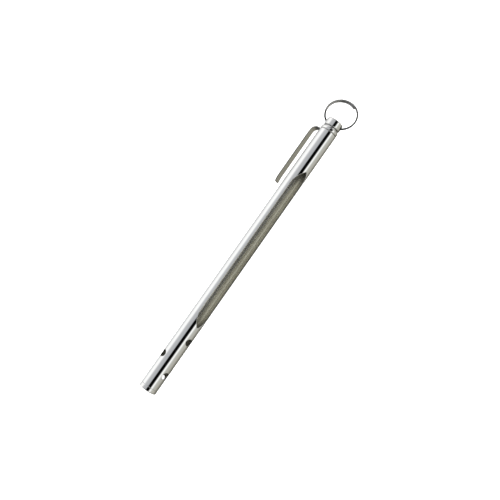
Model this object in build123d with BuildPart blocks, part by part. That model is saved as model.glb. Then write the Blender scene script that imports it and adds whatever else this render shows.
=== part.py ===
from build123d import *
import math
import os

os.makedirs("parts", exist_ok=True)

# ---------------------------------------------------------------------------
# Pocket thermometer case with clip, screw cap, swivel knob and split ring.
# Millimetres. The case lies on a table: X runs along the tube towards the ring,
# Z is up, Y points to the clip's side. Origin: centre of the footprint, on the table.
# "x_" values are distances along the tube from the face of the closed end.
# Directions round the tube are angles from straight up (+Z) towards -Y.
# ---------------------------------------------------------------------------

# whole object
TIP_X = -93.12            # row X of the closed end's face
AXIS_Z = 4.90             # height of the tube's axis above the table

# barrel
TUBE_R = 4.87             # nominal 3/8 in stock
TUBE_WALL = 0.62
BORE_R = TUBE_R - TUBE_WALL
X_TUBE_LOW = 2.40
X_TUBE_TOP = 164.60

# window
X_WIN_LOW = 40.55
X_WIN_TOP = 140.20
WIN_HALF = 3.52           # half-width, measured square to its own direction
WIN_TAPER = 9.0           # length of each pointed end
WIN_POINT_R = 0.70        # rounding at each point
WIN_EDGE_R = 0.18         # polished outer edge
WIN_ANGLE = 48.5

# flow holes
HOLE_R = 2.0
X_HOLE_LOW, A_HOLE_LOW = 11.2, 64.5
X_HOLE_MID, A_HOLE_MID = 20.55, -49.5
X_HOLE_TOP, A_HOLE_TOP = 32.15, 64.5
X_HOLE_DRAIN, A_HOLE_DRAIN = 8.5, 151.0   # underneath, close to the end cap

# end cap
RIM_R = 4.90
RIM_ROUND = 0.50
PLUG_BORE_R = 3.45
X_PLUG_TOP = 6.4
X_PLUG_FLOOR = 1.20
TIP_PAD_TOP = 4.2

# bush and thread (M7 x 0.75, cut plain at its mean fit)
BUSH_BORE_R = 3.50
BUSH_LEN = 8.5
THREAD_CLEAR = 0.05
SPIGOT_R = BUSH_BORE_R - THREAD_CLEAR
SPIGOT_LEN = 6.0          # length inside the barrel
PITCH = 0.75

# pocket clip
CLIP_T = 0.50
CLIP_W = 4.0
CLIP_RING_R = 4.45
CLIP_RING_BORE_R = 3.58
CLIP_ANGLE = -107.5
CLIP_OUT_TOP = 9.40       # outer face, distance from the axis, above
CLIP_OUT_LOW = 9.25       # and below
CLIP_BEND_R = 3.5         # outside of the bend
X_CLIP_LOW = 127.7
CLIP_TOE = 0.42           # how far the lower end is turned in
CLIP_TIP_R = 0.55         # rounded corners of the lower end

# cap
X_SHOULDER = X_TUBE_TOP + CLIP_T
COLLAR_H = 2.65
X_COLLAR_TOP = X_SHOULDER + COLLAR_H
COLLAR_R = 4.87
COLLAR_NECK_R = 3.95
CAP_BORE_R = 2.45
WEB_LOW = 163.9           # underside of the web that the stem turns in
LIP_R = 1.95              # rolled-in mouth
LIP_T = 0.50
X_SPIGOT_LOW = X_TUBE_TOP - SPIGOT_LEN

# knob
KNOB_GAP = 0.18
X_KNOB_LOW = X_COLLAR_TOP + KNOB_GAP
KNOB_R = 4.60
X_KNOB_SIDE = 171.25      # where the side starts to round over
KNOB_ROUND = 0.90
X_KNOB_TOP = 172.70
X_RING_HOLE = 169.60
RING_HOLE_R = 1.40
STEM_R = 1.30
STEM_CLEAR = 0.05
X_STEM_LOW = 162.1

# stem washer and circlip
WASHER_R = 1.92
WASHER_T = 0.35
CIRCLIP_R = 1.88
CIRCLIP_T = 0.35
CIRCLIP_GROOVE_R = 0.95

# spring and plunger
SPRING_WIRE = 0.35
SPRING_MEAN_R = 2.20
SPRING_TURNS = 5.0
CUP_FLANGE_T = 0.70
CUP_FLANGE_R = CAP_BORE_R - 0.05
CUP_NOSE_R = LIP_R - 0.05
X_CUP_LOW = 156.1
PAD_R = 2.80
X_PAD_LOW = 155.0
X_PAD_TOP = 157.1

# split ring
WIRE_R = 0.50
RING_MEAN_R = 8.60
RING_GAP = 0.05           # air between the lapped wires
RING_REACH = RING_MEAN_R + WIRE_R + 0.055 - RING_HOLE_R  # ring's centre from the hole's axis
RING_DROOP = 10.2         # the far side hangs a little lower than the tube's axis
LAP_FROM = -27.0          # where the wire begins, from the ring's far side towards +Y
LAP_TO = 112.0            # where it ends, one turn further round
LAP_INSET = 0.42          # how far the beginning sits inside the lapping wire
WIRE_SPANS = 54


AXIS = Axis((TIP_X, 0, AXIS_Z), (1, 0, 0))


def cross_plane(x):
    """Plane square to the tube; its local x is +Y and local y is +Z."""
    return Plane(origin=(TIP_X + x, 0, AXIS_Z), x_dir=(0, 1, 0), z_dir=(1, 0, 0))


def radial_plane(x, angle):
    """Plane through the axis, facing outwards at an angle; its local x is along the tube."""
    a = math.radians(angle)
    return Plane(
        origin=(TIP_X + x, 0, AXIS_Z),
        x_dir=(1, 0, 0),
        z_dir=(0, -math.sin(a), math.cos(a)),
    )


def half_plane(angle=0.0):
    """Plane holding the axis; local x is along the tube from the tip, local y outwards."""
    a = math.radians(angle)
    outward = Vector(0, -math.sin(a), math.cos(a))
    normal = Vector(1, 0, 0).cross(outward)
    return Plane(origin=(TIP_X, 0, AXIS_Z), x_dir=(1, 0, 0), z_dir=normal)


def dome_mid(x_rim, r_rim, x_pole):
    """Middle point of a spherical dome's profile, from its rim to its pole on the axis."""
    rise = x_pole - x_rim
    ball = (r_rim**2 + rise**2) / (2 * abs(rise))
    r_mid = r_rim / 2
    drop = ball - math.sqrt(ball**2 - r_mid**2)
    return x_pole - math.copysign(drop, rise), r_mid


# ---------------------------------------------------------------------------
# barrel: seamless tube with a pointed window and round flow holes
# ---------------------------------------------------------------------------
win_len = X_WIN_TOP - X_WIN_LOW
point_arc_r = (WIN_TAPER**2 + WIN_HALF**2) / (2 * WIN_HALF)


def ogive_mid(x_end, x_start):
    """Middle point of the arc that runs from the point to the straight side."""
    d = (x_end + x_start) / 2 - x_start
    return (x_end + x_start) / 2, WIN_HALF - point_arc_r + math.sqrt(point_arc_r**2 - d**2)


with BuildPart() as barrel:
    with BuildSketch(cross_plane(X_TUBE_LOW)):
        Circle(TUBE_R)
        Circle(BORE_R, mode=Mode.SUBTRACT)
    extrude(amount=X_TUBE_TOP - X_TUBE_LOW)

    # window, cut square through one wall
    with BuildSketch(radial_plane(X_WIN_LOW, WIN_ANGLE)) as win_sk:
        with BuildLine():
            mx0, my0 = ogive_mid(0.0, WIN_TAPER)
            mx1, my1 = ogive_mid(win_len, win_len - WIN_TAPER)
            ThreePointArc((0, 0), (mx0, my0), (WIN_TAPER, WIN_HALF))
            Line((WIN_TAPER, WIN_HALF), (win_len - WIN_TAPER, WIN_HALF))
            ThreePointArc((win_len - WIN_TAPER, WIN_HALF), (mx1, my1), (win_len, 0))
            ThreePointArc((win_len, 0), (mx1, -my1), (win_len - WIN_TAPER, -WIN_HALF))
            Line((win_len - WIN_TAPER, -WIN_HALF), (WIN_TAPER, -WIN_HALF))
            ThreePointArc((WIN_TAPER, -WIN_HALF), (mx0, -my0), (0, 0))
        make_face()
        fillet(win_sk.vertices().group_by(Axis.X)[0], WIN_POINT_R)
        fillet(win_sk.vertices().group_by(Axis.X)[-1], WIN_POINT_R)
    extrude(amount=TUBE_R + 1, mode=Mode.SUBTRACT)
    win_edges = (
        barrel.edges()
        .filter_by(lambda e: X_WIN_LOW - 0.5 < (e.center() - Vector(TIP_X, 0, 0)).X < X_WIN_TOP + 0.5)
        .filter_by(
            lambda e: math.hypot(
                (e @ 0.5).Y, (e @ 0.5).Z - AXIS_Z
            )
            > TUBE_R - 0.02
        )
    )
    fillet(win_edges, WIN_EDGE_R)

    # flow holes
    with BuildSketch(radial_plane(X_HOLE_LOW, A_HOLE_LOW)):
        Circle(HOLE_R)
    extrude(amount=TUBE_R + 1, mode=Mode.SUBTRACT)
    with BuildSketch(radial_plane(X_HOLE_DRAIN, A_HOLE_DRAIN)):
        Circle(HOLE_R)
    extrude(amount=TUBE_R + 1, mode=Mode.SUBTRACT)
    with BuildSketch(radial_plane(X_HOLE_MID, A_HOLE_MID)):
        Circle(HOLE_R)
    extrude(amount=TUBE_R + 1, mode=Mode.SUBTRACT)
    with BuildSketch(radial_plane(X_HOLE_TOP, A_HOLE_TOP)):
        Circle(HOLE_R)
    extrude(amount=TUBE_R + 1, mode=Mode.SUBTRACT)
barrel.part.label = "barrel"

# ---------------------------------------------------------------------------
# tip_plug: end cap with a proud rounded rim and a hollow spigot pressed into the tube
# ---------------------------------------------------------------------------
with BuildPart() as tip_plug:
    with BuildSketch(half_plane()) as plug_sk:
        with BuildLine():
            Polyline(
                (0, 0),
                (0, RIM_R - RIM_ROUND),
                (RIM_ROUND * 0.293, RIM_R - RIM_ROUND * 0.293),
                (RIM_ROUND, RIM_R),
                (X_TUBE_LOW - 0.12, RIM_R),
                (X_TUBE_LOW, RIM_R - 0.12),
                (X_TUBE_LOW, BORE_R),
                (X_PLUG_TOP - 0.3, BORE_R),
                (X_PLUG_TOP, BORE_R - 0.3),
                (X_PLUG_TOP, PLUG_BORE_R),
                (X_PLUG_FLOOR, PLUG_BORE_R),
                (X_PLUG_FLOOR, 0),
                (0, 0),
            )
        make_face()
    revolve(axis=AXIS, revolution_arc=360)
tip_plug.part.label = "tip_plug"

# ---------------------------------------------------------------------------
# tip_cushion: soft pad in the end cap, dished for a bulb's end
# ---------------------------------------------------------------------------
with BuildPart() as tip_cushion:
    with BuildSketch(half_plane()):
        with BuildLine():
            Polyline(
                (X_PLUG_FLOOR, 0),
                (X_PLUG_FLOOR, PLUG_BORE_R - 0.05),
                (TIP_PAD_TOP - 0.25, PLUG_BORE_R - 0.05),
                (TIP_PAD_TOP, PLUG_BORE_R - 0.30),
            )
            Line((TIP_PAD_TOP, PLUG_BORE_R - 0.30), (TIP_PAD_TOP, 2.4))
            ThreePointArc(
                (TIP_PAD_TOP, 2.4),
                dome_mid(TIP_PAD_TOP, 2.4, TIP_PAD_TOP - 0.95),
                (TIP_PAD_TOP - 0.95, 0),
            )
            Line((TIP_PAD_TOP - 0.95, 0), (X_PLUG_FLOOR, 0))
        make_face()
    revolve(axis=AXIS, revolution_arc=360)
tip_cushion.part.label = "tip_cushion"

# ---------------------------------------------------------------------------
# threaded_bush: soldered into the mouth of the tube
# ---------------------------------------------------------------------------
with BuildPart() as threaded_bush:
    with BuildSketch(half_plane()):
        with BuildLine():
            Polyline(
                (X_TUBE_TOP - BUSH_LEN, BORE_R - 0.25),
                (X_TUBE_TOP - BUSH_LEN + 0.25, BORE_R),
                (X_TUBE_TOP, BORE_R),
                (X_TUBE_TOP, BUSH_BORE_R + 0.25),
                (X_TUBE_TOP - 0.25, BUSH_BORE_R),
                (X_TUBE_TOP - BUSH_LEN, BUSH_BORE_R),
                (X_TUBE_TOP - BUSH_LEN, BORE_R - 0.25),
            )
        make_face()
    revolve(axis=AXIS, revolution_arc=360)
threaded_bush.part.label = "threaded_bush"

# ---------------------------------------------------------------------------
# pocket_clip: washer ring and a tongue bent over to run beside the barrel
# ---------------------------------------------------------------------------
x_bend = X_SHOULDER - CLIP_BEND_R          # the bend's centre, along the tube
r_bend = CLIP_OUT_TOP - CLIP_BEND_R        # and out from the axis
toe_from = X_CLIP_LOW + 5.2                # where the lower end starts to turn in

with BuildPart() as pocket_clip:
    with BuildSketch(cross_plane(X_TUBE_TOP)):
        Circle(CLIP_RING_R)
        Circle(CLIP_RING_BORE_R, mode=Mode.SUBTRACT)
    extrude(amount=CLIP_T)
    with BuildSketch(half_plane(CLIP_ANGLE)) as tongue_sk:
        with BuildLine() as tongue_ln:
            q1 = (X_SHOULDER - CLIP_T / 2, CLIP_RING_BORE_R + CLIP_T / 2 + 0.15)
            q2 = (X_SHOULDER - CLIP_T / 2, r_bend)
            q3 = (x_bend, CLIP_OUT_TOP - CLIP_T / 2)
            q4 = (toe_from, CLIP_OUT_LOW + 0.05 - CLIP_T / 2)
            q5 = (X_CLIP_LOW + 0.25, CLIP_OUT_LOW - CLIP_TOE - CLIP_T / 2)
            Line(q1, q2)
            JernArc(q2, (0, 1), CLIP_BEND_R - CLIP_T / 2, 90)
            Line(q3, q4)
            TangentArc(q4, q5, tangent=(q4[0] - q3[0], q4[1] - q3[1]))
        trace(tongue_ln.line, line_width=CLIP_T)
    extrude(amount=CLIP_W / 2, both=True)
    tip_corners = pocket_clip.edges().filter_by(lambda e: abs(e.length - CLIP_T) < 0.02).group_by(Axis.X)[0]
    fillet(tip_corners, CLIP_TIP_R)
pocket_clip.part.label = "pocket_clip"

# ---------------------------------------------------------------------------
# cap_body: tapered bead, web, and hollow threaded spigot with a rolled-in mouth
# ---------------------------------------------------------------------------
with BuildPart() as cap_body:
    with BuildSketch(half_plane()):
        with BuildLine():
            # outside, from the mouth upwards
            Polyline(
                (X_SPIGOT_LOW, LIP_R),
                (X_SPIGOT_LOW, SPIGOT_R - 0.30),
                (X_SPIGOT_LOW + 0.30, SPIGOT_R),
                (X_SHOULDER, SPIGOT_R),
                (X_SHOULDER, COLLAR_R - 0.25),
            )
            ThreePointArc(
                (X_SHOULDER, COLLAR_R - 0.25),
                (X_SHOULDER + 0.075, COLLAR_R - 0.075),
                (X_SHOULDER + 0.25, COLLAR_R),
            )
            Line((X_SHOULDER + 0.25, COLLAR_R), (X_SHOULDER + 0.75, COLLAR_R))
            TangentArc(
                (X_SHOULDER + 0.75, COLLAR_R),
                (X_COLLAR_TOP - 0.12, COLLAR_NECK_R + 0.1),
                tangent=(1, 0),
            )
            Polyline(
                (X_COLLAR_TOP - 0.12, COLLAR_NECK_R + 0.1),
                (X_COLLAR_TOP, COLLAR_NECK_R - 0.1),
                (X_COLLAR_TOP, STEM_R + STEM_CLEAR),
                (WEB_LOW, STEM_R + STEM_CLEAR),
                (WEB_LOW, CAP_BORE_R),
                (X_SPIGOT_LOW + LIP_T, CAP_BORE_R),
                (X_SPIGOT_LOW + LIP_T, LIP_R),
                (X_SPIGOT_LOW, LIP_R),
            )
        make_face()
    revolve(axis=AXIS, revolution_arc=360)
cap_body.part.label = "cap_body"

# ---------------------------------------------------------------------------
# swivel_knob: domed knob, cross-drilled for the ring, with its stem
# ---------------------------------------------------------------------------
x_washer_top = WEB_LOW - 0.03
x_washer_low = x_washer_top - WASHER_T
x_circlip_top = x_washer_low - 0.03
x_circlip_low = x_circlip_top - CIRCLIP_T

with BuildPart() as swivel_knob:
    with BuildSketch(half_plane()):
        with BuildLine():
            Polyline(
                (X_STEM_LOW, 0),
                (X_STEM_LOW, STEM_R - 0.2),
                (X_STEM_LOW + 0.2, STEM_R),
                (x_circlip_low - 0.03, STEM_R),
                (x_circlip_low - 0.03, CIRCLIP_GROOVE_R),
                (x_circlip_top + 0.03, CIRCLIP_GROOVE_R),
                (x_circlip_top + 0.03, STEM_R),
                (X_KNOB_LOW, STEM_R),
                (X_KNOB_LOW, KNOB_R - 0.45),
            )
            ThreePointArc(
                (X_KNOB_LOW, KNOB_R - 0.45),
                (X_KNOB_LOW + 0.13, KNOB_R - 0.13),
                (X_KNOB_LOW + 0.45, KNOB_R),
            )
            Line((X_KNOB_LOW + 0.45, KNOB_R), (X_KNOB_SIDE, KNOB_R))
            TangentArc(
                (X_KNOB_SIDE, KNOB_R),
                (X_KNOB_SIDE + KNOB_ROUND, KNOB_R - KNOB_ROUND),
                tangent=(1, 0),
            )
            ThreePointArc(
                (X_KNOB_SIDE + KNOB_ROUND, KNOB_R - KNOB_ROUND),
                dome_mid(X_KNOB_SIDE + KNOB_ROUND, KNOB_R - KNOB_ROUND, X_KNOB_TOP),
                (X_KNOB_TOP, 0),
            )
            Line((X_KNOB_TOP, 0), (X_STEM_LOW, 0))
        make_face()
    revolve(axis=AXIS, revolution_arc=360)
    # cross hole for the ring, with broken edges
    with BuildSketch(Plane(origin=(TIP_X + X_RING_HOLE, 0, AXIS_Z), x_dir=(1, 0, 0), z_dir=(0, 1, 0))):
        Circle(RING_HOLE_R)
    extrude(amount=KNOB_R + 1, both=True, mode=Mode.SUBTRACT)
swivel_knob.part.label = "swivel_knob"

# ---------------------------------------------------------------------------
# stem_washer and stem_circlip: hold the knob's stem in the cap
# ---------------------------------------------------------------------------
with BuildPart() as stem_washer:
    with BuildSketch(cross_plane(x_washer_low)):
        Circle(WASHER_R)
        Circle(STEM_R + STEM_CLEAR, mode=Mode.SUBTRACT)
    extrude(amount=WASHER_T)
stem_washer.part.label = "stem_washer"

with BuildPart() as stem_circlip:
    with BuildSketch(cross_plane(x_circlip_low)):
        Circle(CIRCLIP_R)
        Circle(CIRCLIP_GROOVE_R + 0.02, mode=Mode.SUBTRACT)
        # the open mouth of the clip and its two relief notches
        with Locations((0, -CIRCLIP_R)):
            Rectangle(1.70, 2 * CIRCLIP_R, mode=Mode.SUBTRACT)
        with PolarLocations(CIRCLIP_GROOVE_R + 0.2, 2, start_angle=20, angular_range=140):
            Circle(0.22, mode=Mode.SUBTRACT)
    extrude(amount=CIRCLIP_T)
stem_circlip.part.label = "stem_circlip"

# ---------------------------------------------------------------------------
# pressure_spring: compression spring round the stem, seated on the web
# ---------------------------------------------------------------------------
x_spring_low = X_SPIGOT_LOW + LIP_T + CUP_FLANGE_T
spring_free = WEB_LOW - x_spring_low
helix_h = spring_free - SPRING_WIRE - 0.04
with BuildPart() as pressure_spring:
    with BuildLine() as coil:
        Helix(
            pitch=helix_h / SPRING_TURNS,
            height=helix_h,
            radius=SPRING_MEAN_R,
            center=(TIP_X + x_spring_low + SPRING_WIRE / 2 + 0.02, 0, AXIS_Z),
            direction=(1, 0, 0),
        )
    with BuildSketch(Plane(origin=coil.line @ 0, z_dir=coil.line % 0)):
        Circle(SPRING_WIRE / 2)
    sweep(is_frenet=True)
pressure_spring.part.label = "pressure_spring"

# ---------------------------------------------------------------------------
# spring_cup: flanged plunger kept in the cap by the rolled mouth
# ---------------------------------------------------------------------------
x_flange_low = X_SPIGOT_LOW + LIP_T
with BuildPart() as spring_cup:
    with BuildSketch(half_plane()):
        with BuildLine():
            Polyline(
                (X_CUP_LOW, 0),
                (X_CUP_LOW, CUP_NOSE_R - 0.2),
                (X_CUP_LOW + 0.2, CUP_NOSE_R),
                (x_flange_low + 0.01, CUP_NOSE_R),
                (x_flange_low + 0.01, CUP_FLANGE_R),
                (x_flange_low + CUP_FLANGE_T, CUP_FLANGE_R),
                (x_flange_low + CUP_FLANGE_T, STEM_R + 0.2),
                (X_CUP_LOW + 1.2, STEM_R + 0.2),
                (X_CUP_LOW + 0.9, 0),
                (X_CUP_LOW, 0),
            )
        make_face()
    revolve(axis=AXIS, revolution_arc=360)
spring_cup.part.label = "spring_cup"

# ---------------------------------------------------------------------------
# top_cushion: rubber button pushed over the plunger's nose
# ---------------------------------------------------------------------------
with BuildPart() as top_cushion:
    with BuildSketch(half_plane()):
        with BuildLine():
            Line((X_CUP_LOW, 0), (X_PAD_LOW + 0.45, 0))
            ThreePointArc(
                (X_PAD_LOW + 0.45, 0),
                dome_mid(X_PAD_LOW, 2.0, X_PAD_LOW + 0.45),
                (X_PAD_LOW, 2.0),
            )
            Polyline(
                (X_PAD_LOW, 2.0),
                (X_PAD_LOW, PAD_R - 0.3),
                (X_PAD_LOW + 0.3, PAD_R),
                (X_PAD_TOP - 0.2, PAD_R),
                (X_PAD_TOP, PAD_R - 0.2),
                (X_PAD_TOP, CUP_NOSE_R),
                (X_CUP_LOW + 0.2, CUP_NOSE_R),
                (X_CUP_LOW, CUP_NOSE_R - 0.2),
                (X_CUP_LOW, 0),
            )
        make_face()
    revolve(axis=AXIS, revolution_arc=360)
top_cushion.part.label = "top_cushion"

# ---------------------------------------------------------------------------
# split_ring: round spring wire that laps over itself by about 140 degrees
# ---------------------------------------------------------------------------
droop = math.radians(RING_DROOP)
RING_PLANE = Plane(
    origin=(
        TIP_X + X_RING_HOLE + RING_REACH * math.cos(droop),
        0,
        AXIS_Z - RING_REACH * math.sin(droop),
    ),
    x_dir=(math.cos(droop), 0, -math.sin(droop)),
    z_dir=(math.sin(droop), 0, math.cos(droop)),
)
lap_lift = WIRE_R + RING_GAP / 2


def smooth(t):
    t = min(1.0, max(0.0, t))
    return t * t * (3 - 2 * t)


def wire_point(angle):
    """Point on the wire's centreline; the angle starts at the ring's far side and
    runs on past 360 where the wire laps over its own beginning."""
    a = math.radians(angle)
    rise = smooth((angle - LAP_TO) / (360 + LAP_FROM - LAP_TO))
    height = lap_lift * (2 * rise - 1)
    inset = LAP_INSET * (1 - smooth((angle - LAP_FROM) / (LAP_TO - LAP_FROM)))
    r = RING_MEAN_R - inset
    return RING_PLANE.from_local_coords(Vector(r * math.cos(a), r * math.sin(a), height))


wire_turn = 360 + LAP_TO - LAP_FROM
wire_pts = [wire_point(LAP_FROM + wire_turn * i / WIRE_SPANS) for i in range(WIRE_SPANS + 1)]

with BuildPart() as split_ring:
    with BuildLine() as wire_ln:
        Spline(*wire_pts)
    with BuildSketch(Plane(origin=wire_ln.line @ 0, z_dir=wire_ln.line % 0)):
        Circle(WIRE_R)
    sweep(path=wire_ln.line)
split_ring.part.label = "split_ring"
print(
    "split_ring volume",
    round(split_ring.part.volume, 3),
    "section x length",
    round(math.pi * WIRE_R**2 * wire_ln.edges()[0].length, 3),
)

# ---------------------------------------------------------------------------
# export
# ---------------------------------------------------------------------------
export_step(barrel.part, "parts/barrel.step")
export_step(tip_plug.part, "parts/tip_plug.step")
export_step(tip_cushion.part, "parts/tip_cushion.step")
export_step(threaded_bush.part, "parts/threaded_bush.step")
export_step(pocket_clip.part, "parts/pocket_clip.step")
export_step(cap_body.part, "parts/cap_body.step")
export_step(swivel_knob.part, "parts/swivel_knob.step")
export_step(stem_washer.part, "parts/stem_washer.step")
export_step(stem_circlip.part, "parts/stem_circlip.step")
export_step(pressure_spring.part, "parts/pressure_spring.step")
export_step(spring_cup.part, "parts/spring_cup.step")
export_step(top_cushion.part, "parts/top_cushion.step")
export_step(split_ring.part, "parts/split_ring.step")
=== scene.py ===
import math

import bpy
import numpy as np
from mathutils import Matrix, Vector
from mathutils.geometry import delaunay_2d_cdt


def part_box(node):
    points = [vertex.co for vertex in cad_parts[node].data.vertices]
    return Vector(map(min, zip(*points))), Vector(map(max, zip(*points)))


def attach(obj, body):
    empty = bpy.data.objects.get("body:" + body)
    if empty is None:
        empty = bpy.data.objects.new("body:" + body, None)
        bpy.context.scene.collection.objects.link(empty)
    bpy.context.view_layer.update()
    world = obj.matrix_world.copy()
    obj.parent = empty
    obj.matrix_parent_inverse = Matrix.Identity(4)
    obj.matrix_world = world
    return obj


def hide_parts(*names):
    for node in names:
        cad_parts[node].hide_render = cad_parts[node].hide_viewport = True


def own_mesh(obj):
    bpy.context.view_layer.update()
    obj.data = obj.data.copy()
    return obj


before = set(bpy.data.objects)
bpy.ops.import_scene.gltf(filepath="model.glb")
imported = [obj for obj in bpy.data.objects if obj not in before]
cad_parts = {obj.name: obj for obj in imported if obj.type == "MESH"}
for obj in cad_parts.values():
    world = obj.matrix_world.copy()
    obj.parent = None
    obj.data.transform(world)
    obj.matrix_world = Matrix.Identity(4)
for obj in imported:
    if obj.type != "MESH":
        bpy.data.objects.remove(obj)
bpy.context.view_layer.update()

# ---------------------------------------------------------------------------
# The tube's own frame, in millimetres: x from the closed end's face along the
# tube, y and z from the tube's axis. Angles round the tube run from +Z to -Y.
# ---------------------------------------------------------------------------
plug_lo, plug_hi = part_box("tip_plug")
TIP = plug_lo.x * 1000.0
AXIS_H = (plug_lo.z + plug_hi.z) * 500.0
ring_lo, ring_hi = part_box("split_ring")

TUBE_R, BORE_R = 4.87, 4.25
X_TUBE_LOW, X_TUBE_TOP = 2.40, 164.60
X_WIN_LOW, X_WIN_TOP, WIN_HALF, WIN_TAPER, WIN_POINT_R, WIN_ANGLE = 40.55, 140.2, 3.52, 9.0, 0.70, 48.5
WIN_EDGE_R = 0.18
HOLES = [(11.2, 64.5), (8.5, 151.0), (20.55, -49.5), (32.15, 64.5)]
HOLE_R = 2.0
X_SHOULDER = 165.10
X_COLLAR_TOP = X_SHOULDER + 2.65
X_KNOB_LOW = X_COLLAR_TOP + 0.18
PITCH = 0.75


def vec(angle):
    """Outward direction round the tube."""
    a = np.radians(angle)
    return np.stack([np.zeros_like(a), -np.sin(a), np.cos(a)], -1)


# ---------------------------------------------------------------------------
# mesh building with exact normals
# ---------------------------------------------------------------------------
class Builder:
    def __init__(self):
        self.v, self.n, self.f, self.m, self.count = [], [], [], [], 0

    def _add(self, P, N):
        start = self.count
        self.v.append(np.asarray(P, float).reshape(-1, 3))
        self.n.append(np.asarray(N, float).reshape(-1, 3))
        self.count += len(self.v[-1])
        return start

    def grid(self, P, N, mat=0, wrap_u=False, wrap_v=False):
        """P and N are (rows, columns, 3)."""
        P, N = np.asarray(P, float), np.asarray(N, float)
        a, b = P.shape[:2]
        s = self._add(P, N)
        ia = np.arange(a if wrap_u else a - 1)
        jb = np.arange(b if wrap_v else b - 1)
        I, J = np.meshgrid(ia, jb, indexing="ij")
        I2, J2 = (I + 1) % a, (J + 1) % b
        q = np.stack([I * b + J, I2 * b + J, I2 * b + J2, I * b + J2], -1).reshape(-1, 4) + s
        self.f += q.tolist()
        self.m += [mat] * len(q)

    def tris(self, P, N, T, mat=0):
        s = self._add(P, N)
        self.f += (np.asarray(T) + s).tolist()
        self.m += [mat] * len(T)

    def arrays(self):
        P, N = np.concatenate(self.v), np.concatenate(self.n)
        N /= np.maximum(np.linalg.norm(N, axis=1, keepdims=True), 1e-12)
        key = np.round(P * 2000).astype(np.int64)
        _, first, inv = np.unique(key, axis=0, return_index=True, return_inverse=True)
        inv = inv.reshape(-1)
        Q = P[first]
        faces, mats, loops = [], [], []
        for f, m in zip(self.f, self.m):
            ids, keep = [], []
            for i in f:
                w = int(inv[i])
                if w not in ids:
                    ids.append(w)
                    keep.append(i)
            if len(ids) < 3:
                continue
            p = Q[ids]
            g = np.cross(p[1] - p[0], p[2] - p[0])
            if len(ids) == 4:
                g = np.cross(p[2] - p[0], p[3] - p[1])
            if np.dot(g, N[keep].sum(0)) < 0:
                ids.reverse()
                keep.reverse()
            faces.append(ids)
            mats.append(m)
            loops.append(keep)
        return Q, faces, mats, N, loops

    def obj(self, name, materials, tube=True):
        Q, faces, mats, N, loops = self.arrays()
        if tube:
            Q = Q + np.array([TIP, 0, AXIS_H])
        me = bpy.data.meshes.new(name)
        me.from_pydata((Q * 0.001).tolist(), [], faces)
        for mt in materials:
            me.materials.append(mt)
        me.polygons.foreach_set("material_index", mats)
        me.polygons.foreach_set("use_smooth", [True] * len(faces))
        me.update()
        flat = [N[i] for keep in loops for i in keep]
        me.normals_split_custom_set([tuple(x) for x in flat])
        ob = bpy.data.objects.new(name, me)
        bpy.context.scene.collection.objects.link(ob)
        return ob


def rounded(points, radii, closed=True, seg_deg=9.0):
    """A polyline with rounded corners: its points and the normals to its left."""
    n = len(points)
    P = [np.array(p, float) for p in points]
    out, nor = [], []
    for i in range(n):
        r = radii[i] if not np.isscalar(radii) else radii
        if not closed and i in (0, n - 1):
            q = P[1] - P[0] if i == 0 else P[-1] - P[-2]
            q /= np.linalg.norm(q)
            out.append(P[i])
            nor.append(np.array([-q[1], q[0]]))
            continue
        a, b, c = P[i - 1], P[i], P[(i + 1) % n]
        d1, d2 = b - a, c - b
        l1, l2 = np.linalg.norm(d1), np.linalg.norm(d2)
        d1, d2 = d1 / l1, d2 / l2
        turn = math.atan2(d1[0] * d2[1] - d1[1] * d2[0], float(np.dot(d1, d2)))
        n1, n2 = np.array([-d1[1], d1[0]]), np.array([-d2[1], d2[0]])
        if abs(turn) < 1e-4 or r <= 0:
            out += [b, b]
            nor += [n1, n2]
            continue
        t = min(r * math.tan(abs(turn) / 2), 0.49 * l1, 0.49 * l2)
        rr = t / math.tan(abs(turn) / 2)
        s = 1 if turn > 0 else -1
        centre = b - d1 * t + n1 * rr * s
        k = max(2, int(math.ceil(math.degrees(abs(turn)) / seg_deg)))
        for j in range(k + 1):
            a2 = turn * j / k
            ca, sa = math.cos(a2), math.sin(a2)
            nn = np.array([n1[0] * ca - n1[1] * sa, n1[0] * sa + n1[1] * ca])
            out.append(centre - nn * rr * s)
            nor.append(nn)
    return np.array(out), np.array(nor)


def spun(b, P2, N2, segs=192, mat=0, closed=True, outward=1.0):
    """Turns a profile of (x, r) points round the tube's axis."""
    th = np.linspace(0, 360, segs, endpoint=False)
    d = vec(th)
    P2, N2 = np.asarray(P2, float), np.asarray(N2, float) * outward
    X = np.zeros((len(P2), segs, 3))
    M = np.zeros_like(X)
    X[..., 0] = P2[:, None, 0]
    X += P2[:, None, 1:2] * d[None]
    M[..., 0] = N2[:, None, 0]
    M += N2[:, None, 1:2] * d[None]
    b.grid(X, M, mat, wrap_u=closed, wrap_v=True)


def lathe(name, points, radii, mats, segs=192, closed=True, seg_deg=9.0):
    """points go round the solid's half section, clockwise as seen with x right and r up."""
    b = Builder()
    P2, N2 = rounded(points, radii, closed, seg_deg)
    spun(b, P2, N2, segs, 0, closed)
    return b.obj(name, mats)


def inside(poly, pts):
    """Which points are inside a closed polygon."""
    x, y = pts[:, 0], pts[:, 1]
    ins = np.zeros(len(pts), bool)
    px, py = poly[:, 0], poly[:, 1]
    qx, qy = np.roll(px, -1), np.roll(py, -1)
    for i in range(len(poly)):
        if py[i] == qy[i]:
            continue
        c = (py[i] > y) != (qy[i] > y)
        xi = px[i] + (y - py[i]) * (qx[i] - px[i]) / (qy[i] - py[i])
        ins ^= c & (x < xi)
    return ins


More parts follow.
